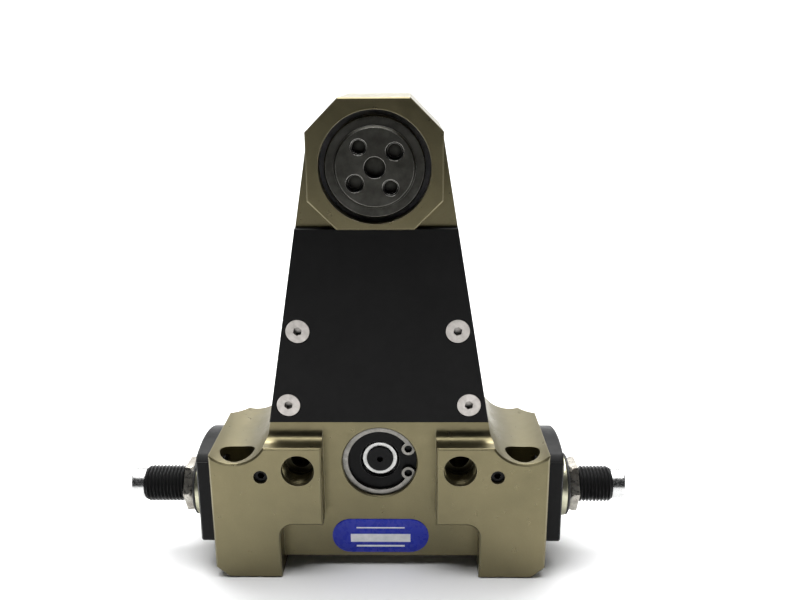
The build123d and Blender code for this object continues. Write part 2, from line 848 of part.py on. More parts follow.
def make_output_flange():
    """The output flange and its stepped shaft, one turned piece."""
    face = HEAD_FRONT + 0.2
    steps = [
        # front, rear, radius
        (face, -14.0, BOSS_R),
        (face + 0.8, -13.9, FLANGE_R),
        (-14.2, -11.6, 7.4),
        (-12.0, -5.6, FRONT_JOURNAL_R),
        (-6.0, 14.0, REAR_JOURNAL_R),
    ]
    with BuildPart() as flange:
        for front, rear, radius in steps:
            with BuildSketch(facing_front(rear)):
                with Locations((0, OUTPUT_Z)):
                    Circle(radius)
            extrude(amount=rear - front)
        rims = flange.edges().filter_by(GeomType.CIRCLE).group_by(Axis.Y)[0]
        chamfer(rims, length=0.5)
        outer_rim = flange.edges().filter_by(GeomType.CIRCLE)
        outer_rim = outer_rim.filter_by(lambda edge: abs(edge.radius - FLANGE_R) < 0.01)
        chamfer(outer_rim.sort_by(Axis.Y)[0], length=RIM_CHAMFER)
        with BuildSketch(facing_front(face)):
            with Locations((0, OUTPUT_Z)):
                Circle(2.55)
                with PolarLocations(HOLE_CIRCLE, 4, start_angle=HOLE_ANGLE):
                    Circle(1.65)
        extrude(amount=-3.2, mode=Mode.SUBTRACT)
        with BuildSketch(facing_front(face)):
            with Locations((0, OUTPUT_Z)):
                with PolarLocations(HOLE_CIRCLE, 2, start_angle=HOLE_ANGLE):
                    Circle(2.15)
                with PolarLocations(HOLE_CIRCLE, 2, start_angle=HOLE_ANGLE + 90):
                    Circle(1.95)
        extrude(amount=-0.6, mode=Mode.SUBTRACT)
        with BuildSketch(facing_front(face)):
            with Locations((0, OUTPUT_Z)):
                with PolarLocations(HOLE_CIRCLE, 2, start_angle=HOLE_ANGLE):
                    Circle(2.15)
        extrude(amount=-2.4, mode=Mode.SUBTRACT)
        # groove for the ring that holds the shaft at the rear
        with BuildSketch(facing_front(12.9)):
            with Locations((0, OUTPUT_Z)):
                Circle(6)
                Circle(3.6, mode=Mode.SUBTRACT)
        extrude(amount=0.9, mode=Mode.SUBTRACT)
    return flange.part


def make_output_gear():
    """The gear pressed on the output shaft."""
    with BuildPart() as gear:
        with BuildSketch(facing_front(GEAR_WIDTH / 2)):
            add(gear_outline(OUTPUT_TEETH, (0, OUTPUT_Z), -90))
        extrude(amount=GEAR_WIDTH)
        with BuildSketch(facing_front(GEAR_WIDTH / 2)):
            with Locations((0, OUTPUT_Z)):
                Circle(REAR_JOURNAL_R)
        extrude(amount=GEAR_WIDTH, mode=Mode.SUBTRACT)
    return gear.part


def make_balls(height, y_middle, orbit, radius, count):
    """The balls of one bearing."""
    balls = []
    for index in range(count):
        angle = 2 * pi * index / count
        place = Pos(orbit * cos(angle), CYLINDER_Y + y_middle, height + orbit * sin(angle))
        balls.append(place * Sphere(radius))
    return Compound(children=balls)


def make_bearing(name, height, front, width, outer, inner, ball, count):
    """A ball bearing: outer ring, inner ring and balls, each in its own file."""
    orbit = (outer + inner) / 2
    shoulder = 0.55 * ball
    save(ring_y(front, front + width, height, outer, orbit + shoulder), name + "_outer_ring")
    save(ring_y(front, front + width, height, orbit - shoulder, inner), name + "_inner_ring")
    balls = make_balls(height, front + width / 2, orbit, shoulder - 0.04, count)
    save(balls, name + "_balls")


# ---- retaining rings and seals ---------------------------------------------------------
def make_circlip():
    """Internal retaining ring with two eyes, open towards +X."""
    front = FACE + 1.0
    eye_angle = 25
    eye_orbit = 8.45
    with BuildPart() as ring:
        with BuildSketch(facing_front(front + 1.0)):
            with Locations((0, PINION_Z)):
                Circle(SEAT_R + 0.4)
                Circle(8.55, mode=Mode.SUBTRACT)
            with Locations((9.5, PINION_Z)):
                Rectangle(6, 2 * 9.5 * sin(radians(eye_angle - 6)), mode=Mode.SUBTRACT)
            for angle in (-eye_angle, eye_angle):
                x = eye_orbit * cos(radians(angle))
                z = PINION_Z + eye_orbit * sin(radians(angle))
                with Locations((x, z)):
                    Circle(1.85)
            for angle in (-eye_angle, eye_angle):
                x = eye_orbit * cos(radians(angle))
                z = PINION_Z + eye_orbit * sin(radians(angle))
                with Locations((x, z)):
                    Circle(1.0, mode=Mode.SUBTRACT)
        extrude(amount=1.0)
    return ring.part


def make_bearing_holder():
    """The black holder of the pinion's front bearing, with a groove for its O-ring."""
    with BuildPart() as holder:
        with BuildSketch(facing_front(-4.4)):
            with Locations((0, PINION_Z)):
                Circle(SEAT_R - 0.02)
                Circle(BEARING_R, mode=Mode.SUBTRACT)
        extrude(amount=5.8)
        with BuildSketch(facing_front(-9.4)):
            with Locations((0, PINION_Z)):
                Circle(BEARING_R + 0.1)
                Circle(5.3, mode=Mode.SUBTRACT)
        extrude(amount=0.8)
        with BuildSketch(facing_front(-6.0)):
            with Locations((0, PINION_Z)):
                Circle(SEAT_R + 1)
                Circle(SEAT_R - 0.8, mode=Mode.SUBTRACT)
        extrude(amount=1.4, mode=Mode.SUBTRACT)
    return holder.part


def main():
    """Write every piece."""
    save(make_housing(), "housing")
    save(make_cover_plate(), "cover_plate")
    save(make_cover_screws(), "cover_screws")
    save(make_label(), "label_plate")
    save(make_throttle_screws(), "throttle_screws")
    for side, word, outer_end in (
        (-1, "left", DAMPER_LENGTH_LEFT),
        (1, "right", DAMPER_LENGTH_RIGHT),
    ):
        save(make_end_cap(side), "end_cap_" + word)
        save(make_cap_screws(side), "cap_screws_" + word)
        save(make_damper(side, outer_end), "damper_body_" + word)
        save(make_damper_tip(side, outer_end), "damper_tip_" + word)
        save(make_damper_rod(side), "damper_rod_" + word)
        save(make_lock_nut(side), "lock_nut_" + word)
        save(make_sealing_ring(side), "sealing_ring_" + word)
        save(make_piston(side), "piston_" + word)
    save(make_cap_orings(), "cap_orings")
    save(make_rack(), "rack")
    save(make_piston_rings(2.95, 1.9, 1.4), "piston_seals")
    save(make_piston_rings(0.75, 1.1, 0.8), "guide_rings")
    save(make_pinion_shaft(), "pinion_shaft")
    save(make_circlip(), "circlip")
    save(make_bearing_holder(), "bearing_holder")
    save(ring_y(-7.3, -6.1, PINION_Z, SEAT_R - 0.01, SEAT_R - 0.79), "holder_oring")
    make_bearing("pinion_front_bearing", PINION_Z, -9.4, BEARING_WIDTH, BEARING_R, JOURNAL_R, 2.4, 8)
    save(ring_y(-9.38, -9.0, PINION_Z, 7.3, 5.14), "pinion_bearing_seal")
    make_bearing("pinion_rear_bearing", PINION_Z, 4.2, BEARING_WIDTH, BEARING_R, JOURNAL_R, 2.4, 8)
    for word, teeth, height, angle in (
        ("lower", LOWER_TEETH, LOWER_Z, 90 + 180 / LOWER_TEETH),
        ("upper", UPPER_TEETH, UPPER_Z, -90),
    ):
        save(make_idler(teeth, height, angle), "idler_gear_" + word)
        bush = ring_y(-GEAR_WIDTH / 2 - 0.1, GEAR_WIDTH / 2 + 0.1, height, 4.0, 3.03)
        save(bush, "idler_bush_" + word)
        save(make_idler_pin(height), "idler_pin_" + word)
    save(make_idler_clips(), "idler_clips")
    save(make_idler_washers(), "idler_washers")
    save(make_output_flange(), "output_flange")
    save(make_output_gear(), "output_gear")
    make_bearing("output_front_bearing", OUTPUT_Z, -11.6, 6.0, FRONT_SEAT_R, FRONT_JOURNAL_R, 3.2, 11)
    make_bearing("output_rear_bearing", OUTPUT_Z, 5.0, 7.0, REAR_SEAT_R, REAR_JOURNAL_R, 3.5, 8)
    save(ring_y(3.0, 5.0, OUTPUT_Z, 5.6, REAR_JOURNAL_R), "output_spacer")
    save(ring_y(12.05, 12.85, OUTPUT_Z, 5.4, 3.62), "shaft_clip")
    save(ring_y(-13.6, -12.1, OUTPUT_Z, FLANGE_BORE, 7.5), "flange_seal")
    save(ring_y(15.4, 17.8, OUTPUT_Z, REAR_SEAT_R), "rear_plug")


main()
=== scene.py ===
import json
from math import cos, pi, radians, sin

import bmesh
import bpy
from mathutils import Euler, Matrix, Vector


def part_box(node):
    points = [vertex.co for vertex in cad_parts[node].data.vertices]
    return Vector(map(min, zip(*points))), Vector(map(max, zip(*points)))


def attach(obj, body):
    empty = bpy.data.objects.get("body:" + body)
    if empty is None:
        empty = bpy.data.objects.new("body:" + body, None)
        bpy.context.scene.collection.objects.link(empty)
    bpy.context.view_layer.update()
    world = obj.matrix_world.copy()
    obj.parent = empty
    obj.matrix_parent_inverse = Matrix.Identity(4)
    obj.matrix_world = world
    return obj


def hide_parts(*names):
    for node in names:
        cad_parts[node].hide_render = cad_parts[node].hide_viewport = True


MM = 0.001

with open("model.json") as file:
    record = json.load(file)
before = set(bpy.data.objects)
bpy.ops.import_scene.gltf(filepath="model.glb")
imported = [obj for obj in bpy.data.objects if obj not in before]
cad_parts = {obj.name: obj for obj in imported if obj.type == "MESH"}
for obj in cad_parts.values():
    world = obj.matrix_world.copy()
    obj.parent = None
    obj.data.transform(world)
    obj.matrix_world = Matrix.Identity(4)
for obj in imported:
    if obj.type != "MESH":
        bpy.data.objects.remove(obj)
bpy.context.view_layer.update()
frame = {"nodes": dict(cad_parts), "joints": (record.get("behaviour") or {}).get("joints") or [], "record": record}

# ---- places and sizes read from the frame ------------------------------------------
JOINTS = {joint["name"]: joint for joint in frame["joints"]}
MOUNTS = {mount["name"]: mount for mount in frame["record"]["mounts"]}
OUTPUT_AXIS = Vector(JOINTS["output_swivel"]["pos_m"])
PINION_AXIS = Vector(JOINTS["pinion_spin"]["pos_m"])


def middle(node):
    """The middle of a CAD node's box."""
    low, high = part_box(node)
    return (low + high) / 2


def size(node):
    """The lengths of a CAD node's box."""
    low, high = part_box(node)
    return high - low


# ---- small helpers for node materials -----------------------------------------------
class Shader:
    """One procedural material, built up by short calls."""

    def __init__(self, name, metallic=0.0, ior=1.5):
        self.material = bpy.data.materials.new(name)
        self.material.use_nodes = True
        self.tree = self.material.node_tree
        self.out = self.tree.nodes["Principled BSDF"]
        self.out.inputs["Metallic"].default_value = metallic
        self.out.inputs["IOR"].default_value = ior
        self.coords = self.tree.nodes.new("ShaderNodeTexCoord").outputs["Object"]

    def link(self, source, target):
        self.tree.links.new(source, target)

    def stretched(self, scale):
        """Object coordinates, stretched, for marks that run one way."""
        node = self.tree.nodes.new("ShaderNodeMapping")
        node.inputs["Scale"].default_value = scale
        self.link(self.coords, node.inputs["Vector"])
        return node.outputs["Vector"]

    def noise(self, per_mm, detail=3.0, rough=0.55, vector=None, distort=0.0):
        """Noise with so many features in a millimetre."""
        node = self.tree.nodes.new("ShaderNodeTexNoise")
        node.inputs["Scale"].default_value = per_mm / MM
        node.inputs["Detail"].default_value = detail
        node.inputs["Roughness"].default_value = rough
        node.inputs["Distortion"].default_value = distort
        self.link(vector or self.coords, node.inputs["Vector"])
        return node.outputs["Fac"]

    def cells(self, per_mm):
        """Fine speckle, as on a blasted or cast face."""
        node = self.tree.nodes.new("ShaderNodeTexVoronoi")
        node.inputs["Scale"].default_value = per_mm / MM
        self.link(self.coords, node.inputs["Vector"])
        return node.outputs["Distance"]

    def math(self, operation, first, second=0.0):
        node = self.tree.nodes.new("ShaderNodeMath")
        node.operation = operation
        for slot, value in ((0, first), (1, second)):
            if isinstance(value, (int, float)):
                node.inputs[slot].default_value = value
            else:
                self.link(value, node.inputs[slot])
        return node.outputs["Value"]

    def spread(self, value, low, high, start=0.3, end=0.7):
        """A value brought from start..end to low..high."""
        node = self.tree.nodes.new("ShaderNodeMapRange")
        node.inputs["From Min"].default_value = start
        node.inputs["From Max"].default_value = end
        node.inputs["To Min"].default_value = low
        node.inputs["To Max"].default_value = high
        self.link(value, node.inputs["Value"])
        return node.outputs["Result"]

    def ramp(self, value, stops):
        """A colour from a value, by a list of (position, colour)."""
        node = self.tree.nodes.new("ShaderNodeValToRGB")
        elements = node.color_ramp.elements
        while len(elements) < len(stops):
            elements.new(0.5)
        for element, (position, colour) in zip(elements, stops):
            element.position = position
            element.color = (*colour, 1.0)
        self.link(value, node.inputs["Fac"])
        return node.outputs["Color"]

    def axis_distance(self, axis_point, direction):
        """Distance in millimetres from an axis along X or Y, for turned marks."""
        split = self.tree.nodes.new("ShaderNodeSeparateXYZ")
        self.link(self.coords, split.inputs["Vector"])
        squares = []
        for name, centre in zip("XYZ", axis_point):
            if name != direction:
                offset = self.math("SUBTRACT", split.outputs[name], centre)
                squares.append(self.math("MULTIPLY", offset, offset))
        total = self.math("SQRT", self.math("ADD", squares[0], squares[1]))
        return self.math("DIVIDE", total, MM)

    def soft_edges(self, radius_mm):
        """A normal that rounds sharp edges, and a mask that is 1 along them."""
        bevel = self.tree.nodes.new("ShaderNodeBevel")
        bevel.samples = 8
        bevel.inputs["Radius"].default_value = radius_mm * MM
        plain = self.tree.nodes.new("ShaderNodeNewGeometry")
        dot = self.tree.nodes.new("ShaderNodeVectorMath")
        dot.operation = "DOT_PRODUCT"
        self.link(bevel.outputs["Normal"], dot.inputs[0])
        self.link(plain.outputs["Normal"], dot.inputs[1])
        mask = self.spread(dot.outputs["Value"], 1.0, 0.0, 0.86, 0.985)
        return bevel.outputs["Normal"], mask

    def mixed(self, mask, first, second):
        """The first colour where the mask is 0 and a fixed second one where it is 1."""
        node = self.tree.nodes.new("ShaderNodeMix")
        node.data_type = "RGBA"
        self.link(mask, node.inputs["Factor"])
        self.link(first, node.inputs["A"])
        node.inputs["B"].default_value = (*second, 1.0)
        return node.outputs["Result"]

    def painted_crevice_shade(self, colour, distance_mm):
        """A colour darkened in holes and narrow gaps by ambient occlusion: painted shade."""
        node = self.tree.nodes.new("ShaderNodeAmbientOcclusion")
        node.samples = 6
        node.inputs["Distance"].default_value = distance_mm * MM
        self.link(colour, node.inputs["Color"])
        return node.outputs["Color"]

    def colour(self, value):
        self.link(value, self.out.inputs["Base Color"])

    def roughness(self, value):
        self.link(value, self.out.inputs["Roughness"])

    def bumps(self, height, depth_mm, strength=1.0, onto=None):
        """Relief from a height; onto chains it to an earlier bump."""
        node = self.tree.nodes.new("ShaderNodeBump")
        node.inputs["Strength"].default_value = strength
        node.inputs["Distance"].default_value = depth_mm * MM
        self.link(height, node.inputs["Height"])
        if onto:
            self.link(onto, node.inputs["Normal"])
        self.link(node.outputs["Normal"], self.out.inputs["Normal"])
        return node.outputs["Normal"]


# ---- materials --------------------------------------------------------------------
def anodised(name, dark, mid, light, edge_wear_and_highlight, low=0.27, high=0.38):
    """Hard-anodised aluminium: cloudy colour, fine etched grain, edges lightened as wear and as a painted
    highlight.
    """
    m = Shader(name, metallic=0.85, ior=1.6)
    soft, edges = m.soft_edges(0.16)
    clouds = m.noise(0.035, detail=5, rough=0.6, distort=0.4)
    fine = m.noise(3.2, detail=2)
    mixed = m.math("ADD", m.math("MULTIPLY", clouds, 0.8), m.math("MULTIPLY", fine, 0.2))
    skin = m.ramp(mixed, [(0.36, dark), (0.5, mid), (0.66, light)])
    # Edges get a lighter colour: partly wear, partly a painted highlight.
    m.colour(m.mixed(m.math("MULTIPLY", edges, 0.55), skin, edge_wear_and_highlight))
    m.roughness(m.spread(m.noise(0.4, detail=4), low, high))
    grain = m.bumps(m.noise(7.0, detail=2), 0.006, 0.5, onto=soft)
    lines = m.noise(1.0, detail=2, vector=m.stretched((0.05, 1.0, 2.2)))
    m.bumps(lines, 0.006, 0.35, onto=grain)
    return m.material


def black_anodised(name, level=0.0035, low=0.34, high=0.46, edge_wear_and_highlight=0.05, edge_mm=0.10):
    """Black anodised aluminium: satin grain, dust, and edges lightened to grey as wear and as a painted highlight.
    """
    m = Shader(name, metallic=0.0, ior=1.5)
    m.out.inputs["Specular IOR Level"].default_value = 0.11
    soft, edges = m.soft_edges(edge_mm)
    dust = m.noise(0.06, detail=6, rough=0.7)
    dark = (level * 0.85, level * 0.85, level * 0.88)
    light = (level * 1.6, level * 1.6, level * 1.62)
    skin = m.ramp(dust, [(0.35, dark), (0.72, light)])
    # Edges get a lighter colour: partly wear, partly a painted highlight.
    m.colour(m.mixed(m.math("MULTIPLY", edges, 0.5), skin, (edge_wear_and_highlight, edge_wear_and_highlight, edge_wear_and_highlight * 0.98)))
    m.roughness(m.spread(m.noise(0.7, detail=4), low, high))
    grain = m.bumps(m.noise(6.0, detail=3), 0.005, 0.5, onto=soft)
    m.bumps(m.noise(1.2, detail=2, vector=m.stretched((1.0, 1.0, 0.08))), 0.004, 0.3, onto=grain)
    return m.material


def turned_steel(name, axis, dark, light, rough, edge_wear_and_highlight=None, edge_mm=0.10):
    """Turned steel: fine rings round an axis over a grainy surface, edges lightened as wear and as a painted
    highlight, painted shade in holes and gaps.
    """
    m = Shader(name, metallic=1.0, ior=2.4)
    soft, edges = m.soft_edges(edge_mm)
    distance = m.axis_distance(*axis)
    combine = m.tree.nodes.new("ShaderNodeCombineXYZ")
    m.link(distance, combine.inputs["X"])
    rings = m.tree.nodes.new("ShaderNodeTexNoise")
    rings.inputs["Scale"].default_value = 5.0
    rings.inputs["Detail"].default_value = 4.0
    m.link(combine.outputs["Vector"], rings.inputs["Vector"])
    stain = m.noise(0.25, detail=5, rough=0.65)
    skin = m.ramp(stain, [(0.32, dark), (0.68, light)])
    # Edges get a lighter colour: partly wear, partly a painted highlight.
    wear_and_highlight_skin = m.mixed(m.math("MULTIPLY", edges, 0.8), skin, edge_wear_and_highlight or light)
    # Painted shade: the colour is darkened in holes and gaps by ambient occlusion.
    m.colour(m.painted_crevice_shade(wear_and_highlight_skin, 1.2))
    m.roughness(m.spread(m.noise(1.5, detail=4), *rough))
    first = m.bumps(rings.outputs["Fac"], 0.006, 0.6, onto=soft)
    m.bumps(m.noise(9.0, detail=2), 0.004, 0.5, onto=first)
    return m.material


def plated(name, dark, light, low, high, stain_per_mm=0.2, grain_mm=0.004, metallic=1.0):
    """Plated or ground steel with stains, scratches, fine grain and painted shade in holes and gaps."""
    m = Shader(name, metallic=metallic, ior=2.2)
    stain = m.noise(stain_per_mm, detail=5, rough=0.65, distort=0.5)
    # Painted shade: the colour is darkened in holes and gaps by ambient occlusion.
    m.colour(m.painted_crevice_shade(m.ramp(stain, [(0.34, dark), (0.66, light)]), 1.2))
    m.roughness(m.spread(m.noise(1.1, detail=4), low, high))
    grain = m.bumps(m.noise(8.0, detail=2), grain_mm, 0.5)
    scratch = m.noise(2.0, detail=1, vector=m.stretched((0.06, 1.0, 1.0)))
    m.bumps(scratch, grain_mm, 0.3, onto=grain)
    return m.material


def polymer(name, dark, light, rough_low, rough_high, pebble_mm=0.008):
    """Rubber or moulded plastic with a fine pebbled skin."""
    m = Shader(name, metallic=0.0, ior=1.5)
    m.colour(m.ramp(m.noise(0.3, detail=4), [(0.35, dark), (0.65, light)]))
    m.roughness(m.spread(m.noise(1.4, detail=3), rough_low, rough_high))
    m.bumps(m.cells(5.0), pebble_mm, 0.4)
    return m.material


def printed(name, dark, light):
    """Glossy printed film under a clear coat, with a faint ripple."""
    m = Shader(name, metallic=0.0, ior=1.5)
    m.colour(m.ramp(m.noise(0.5, detail=3), [(0.35, dark), (0.65, light)]))
    m.roughness(m.spread(m.noise(0.8, detail=3), 0.22, 0.34))
    m.out.inputs["Specular IOR Level"].default_value = 0.22
    m.out.inputs["Coat Weight"].default_value = 0.04
    m.out.inputs["Coat Roughness"].default_value = 0.15
    m.bumps(m.noise(0.5, detail=2), 0.004, 0.2)
    return m.material


CYLINDER_AXIS = middle("damper_tip_left")
OLIVE = anodised(
    "olive_anodised",
    dark=(0.141, 0.125, 0.069),
    mid=(0.159, 0.139, 0.076),
    light=(0.180, 0.156, 0.086),
    # edge colour: partly wear, partly a painted highlight
    edge_wear_and_highlight=(0.42, 0.38, 0.27),
)
BLACK = black_anodised("black_anodised")
# A lighter grey for the bevel faces of black parts: partly wear, partly a painted highlight.
BLACK_EDGE_WEAR_AND_HIGHLIGHT = plated("black_edge_wear_and_highlight", (0.03, 0.03, 0.03), (0.09, 0.09, 0.088), 0.3, 0.42, 0.6, 0.003, 0.6)
GUNMETAL = turned_steel(
    "gunmetal_turned",
    (OUTPUT_AXIS, "Y"),
    (0.046, 0.045, 0.039),
    (0.084, 0.082, 0.073),
    (0.30, 0.48),
    # edge colour: partly wear, partly a painted highlight
    edge_wear_and_highlight=(0.66, 0.65, 0.61),
    edge_mm=0.17,
)
STAINLESS = plated("stainless_screw", (0.38, 0.355, 0.33), (0.54, 0.51, 0.48), 0.36, 0.5, 0.5, 0.005, 0.85)
OXIDE = black_anodised("black_oxide", 0.008, 0.28, 0.42)
CYLINDER_TURNED = (CYLINDER_AXIS, "X")
BRIGHT = turned_steel("bright_steel", CYLINDER_TURNED, (0.50, 0.50, 0.50), (0.62, 0.62, 0.61), (0.18, 0.32))
NICKEL = plated("nickel_nut", (0.34, 0.31, 0.27), (0.60, 0.58, 0.52), 0.22, 0.38, 0.3)
YELLOW = turned_steel(
    "yellow_passivated", CYLINDER_TURNED, (0.36, 0.35, 0.24), (0.56, 0.55, 0.42), (0.26, 0.40)
)
CLIP_STEEL = plated("spring_steel", (0.16, 0.155, 0.14), (0.27, 0.26, 0.24), 0.28, 0.42, 0.5)
RING_STEEL = turned_steel(
    "bearing_steel", (PINION_AXIS, "Y"), (0.46, 0.46, 0.45), (0.62, 0.62, 0.60), (0.25, 0.4)
)
DARK_STEEL = plated("hardened_steel", (0.035, 0.034, 0.032), (0.075, 0.072, 0.07), 0.30, 0.45, 0.3)
RUBBER = polymer("nitrile_rubber", (0.009, 0.009, 0.009), (0.018, 0.018, 0.018), 0.45, 0.62)
BRONZE = plated("sintered_bronze", (0.30, 0.18, 0.07), (0.48, 0.31, 0.13), 0.35, 0.5)
PISTON = turned_steel(
    "turned_aluminium", CYLINDER_TURNED, (0.60, 0.60, 0.60), (0.74, 0.74, 0.73), (0.25, 0.38)
)
FILLED = polymer("filled_polymer", (0.06, 0.06, 0.065), (0.10, 0.10, 0.105), 0.4, 0.55)
LABEL_BLUE = printed("label_blue", (0.012, 0.024, 0.36), (0.014, 0.028, 0.39))
LABEL_WHITE = printed("label_white", (0.70, 0.71, 0.74), (0.84, 0.84, 0.86))


# ---- mesh helpers -----------------------------------------------------------------
SHARP_ANGLE = 28.0
FLAT_ANGLE = 0.6
WELD = 1e-6


def finish_mesh(name, mesh_maker, materials, body, smooth=35.0):
    """Turn a bmesh into a smooth-shaded piece that rides on a body."""
    mesh = bpy.data.meshes.new(name)
    mesh_maker.to_mesh(mesh)
    mesh_maker.free()
    piece = bpy.data.objects.new(name, mesh)
    bpy.context.scene.collection.objects.link(piece)
    for material in materials:
        mesh.materials.append(material)
    mesh.shade_smooth()
    mesh.set_sharp_from_angle(angle=radians(smooth))
    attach(piece, body)
    return piece


def body_of(node):
    """The body that a CAD node rides on."""
    for body, members in frame["record"]["behaviour"]["bodies"].items():
        if node in members:
            return body
    raise ValueError(node)


def bevelled(node, face_material, edge_material, width_mm):
    """A copy of a CAD node with its sharp edges broken, in the same place."""
    source = frame["nodes"][node].data
    mesh_maker = bmesh.new()
    mesh_maker.from_mesh(source)
    bmesh.ops.remove_doubles(mesh_maker, verts=mesh_maker.verts, dist=WELD)
    bmesh.ops.dissolve_limit(
        mesh_maker, angle_limit=radians(FLAT_ANGLE), verts=mesh_maker.verts, edges=mesh_maker.edges
    )
    weights = mesh_maker.edges.layers.float.new("bevel_weight_edge")
    for edge in mesh_maker.edges:
        if len(edge.link_faces) == 2 and edge.calc_face_angle() > radians(SHARP_ANGLE):
            edge[weights] = 1.0
    name = node + "_finished"
    mesh = bpy.data.meshes.new(name)
    mesh_maker.to_mesh(mesh)
    mesh_maker.free()
    piece = bpy.data.objects.new(name, mesh)
    bpy.context.scene.collection.objects.link(piece)
    mesh.materials.clear()
    mesh.materials.append(face_material)
    mesh.materials.append(edge_material)
    mesh.polygons.foreach_set("material_index", [0] * len(mesh.polygons))
    mesh.shade_smooth()
    mesh.set_sharp_from_angle(angle=radians(SHARP_ANGLE))
    bevel = piece.modifiers.new("broken_edges", "BEVEL")
    bevel.width = width_mm * MM
    bevel.segments = 2
    bevel.limit_method = "WEIGHT"
    bevel.material = 1
    bevel.use_clamp_overlap = True
    bevel.loop_slide = True
    weighted = piece.modifiers.new("flat_faces", "WEIGHTED_NORMAL")
    weighted.mode = "FACE_AREA"
    weighted.weight = 100
    weighted.keep_sharp = True
    apply_modifiers(piece)
    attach(piece, body_of(node))
    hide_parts(node)
    return piece


def apply_modifiers(piece):
    """Make a piece's modifiers part of its mesh."""
    bpy.context.view_layer.update()
    graph = bpy.context.evaluated_depsgraph_get()
    mesh = bpy.data.meshes.new_from_object(piece.evaluated_get(graph))
    old = piece.data
    piece.modifiers.clear()
    piece.data = mesh
    bpy.data.meshes.remove(old)


def dress(material, *nodes):
    """Give CAD nodes one material."""
    for node in nodes:
        mesh = frame["nodes"][node].data
        mesh.materials.clear()
        mesh.materials.append(material)


def rings_to_tube(mesh_maker, rings, closed_ends):
    """Join rings of points into a tube."""
    rows = [[mesh_maker.verts.new(point) for point in ring] for ring in rings]
    count = len(rows[0])
    for first, second in zip(rows, rows[1:]):
        for index in range(count):
            following = (index + 1) % count
            mesh_maker.faces.new((first[index], first[following], second[following], second[index]))
    if closed_ends:
        mesh_maker.faces.new(list(reversed(rows[0])))
        mesh_maker.faces.new(rows[-1])
    bmesh.ops.recalc_face_normals(mesh_maker, faces=mesh_maker.faces)


# ---- threads ------------------------------------------------------------------------
DAMPER_PITCH = 1.0 * MM
DAMPER_THREAD_DEPTH = 0.61 * DAMPER_PITCH
DAMPER_LEAD_IN = 0.9 * DAMPER_PITCH
PORT_PITCH = 0.907 * MM
PORT_THREAD_DEPTH = 0.42 * MM
PORT_THREAD_START = 0.7 * MM
PORT_THREAD_LENGTH = 5.6 * MM
PORT_WALL_GAP = 0.02 * MM
THREAD_STEPS = 8
ROUND_STEPS = 56


def thread_depth(along, angle, pitch):
    """How far the surface lies under the crest, from 0 to 1, with rounded flanks."""
    phase = (along / pitch - angle / (2 * pi)) % 1.0
    slope = abs(phase - 0.5) * 2
    return min(1.0, max(0.0, (slope - 0.12) / 0.76))


def threaded_rod(node):
    """The threaded damper body, with its thread cut as a helix."""
    low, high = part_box(node)
    centre = middle(node)
    crest = (high.z - low.z) / 2
    depth = DAMPER_THREAD_DEPTH
    length = high.x - low.x
    count = int(length / DAMPER_PITCH * THREAD_STEPS)
    rings = []
    for row in range(count + 1):
        along = length * row / count
        x = low.x + along
        from_end = min(along, length - along)
        lead_in = min(1.0, from_end / DAMPER_LEAD_IN)
        ring = []
        for step in range(ROUND_STEPS):
            angle = 2 * pi * step / ROUND_STEPS
            under = thread_depth(along, angle, DAMPER_PITCH) * depth
            radius = min(crest - under, crest - depth + depth * lead_in)
            ring.append((x, centre.y + radius * cos(angle), centre.z + radius * sin(angle)))
        rings.append(ring)
    mesh_maker = bmesh.new()
    rings_to_tube(mesh_maker, rings, True)
    piece = finish_mesh(node + "_thread", mesh_maker, [OXIDE], body_of(node), 50)
    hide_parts(node)
    return piece


def port_thread(side):
    """A few turns of thread on the wall of an air port."""
    mount = MOUNTS["port_" + side]
    centre = Vector(mount["pos_m"])
    wall = mount["dims"]["r_mm"] * MM
    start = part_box("housing")[0].y + PORT_THREAD_START
    length = PORT_THREAD_LENGTH
    count = int(length / PORT_PITCH * THREAD_STEPS)
    rings = []
    for row in range(count + 1):
        along = length * row / count
        ring = []
        for step in range(ROUND_STEPS):
            angle = 2 * pi * step / ROUND_STEPS
            depth = (1 - thread_depth(along, angle, PORT_PITCH)) * PORT_THREAD_DEPTH
            fade = min(1.0, along / PORT_PITCH, (length - along) / PORT_PITCH)
            radius = wall - PORT_WALL_GAP - depth * fade
            ring.append((centre.x + radius * cos(angle), start + along, centre.z + radius * sin(angle)))
        rings.append(ring)
    mesh_maker = bmesh.new()
    rings_to_tube(mesh_maker, rings, False)
    bmesh.ops.reverse_faces(mesh_maker, faces=mesh_maker.faces)
    return finish_mesh("port_thread_" + side, mesh_maker, [OLIVE], "body", 50)


